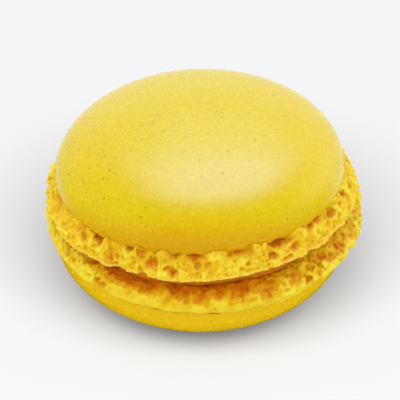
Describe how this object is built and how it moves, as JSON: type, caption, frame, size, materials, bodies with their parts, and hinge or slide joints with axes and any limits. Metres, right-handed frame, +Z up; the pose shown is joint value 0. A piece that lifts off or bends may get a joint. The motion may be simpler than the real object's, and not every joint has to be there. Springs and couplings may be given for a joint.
{
  "type": "french macaron",
  "caption": "Round sandwich biscuit: two domed meringue shells with frilled, porous feet, set base to base on a thin layer of cream.",
  "frame": {"origin": "middle of the small flat spot that the macaron rests on, under the bottom shell's dome", "axes": "+Z up, through both shells; -Y towards the side where the shells gape most, +X towards the side that the feet lean out to"},
  "size_m": [0.046, 0.0459, 0.0289],
  "materials": {
    "meringue": "satin yellow baked crust with fine freckles; the feet are brighter, open crumb, orange in their pores",
    "cream": "soft satin cream"
  },
  "bodies": {
    "root": {"top_shell": "meringue", "filling": "cream", "bottom_shell": "meringue"}
  },
  "joints": []
}
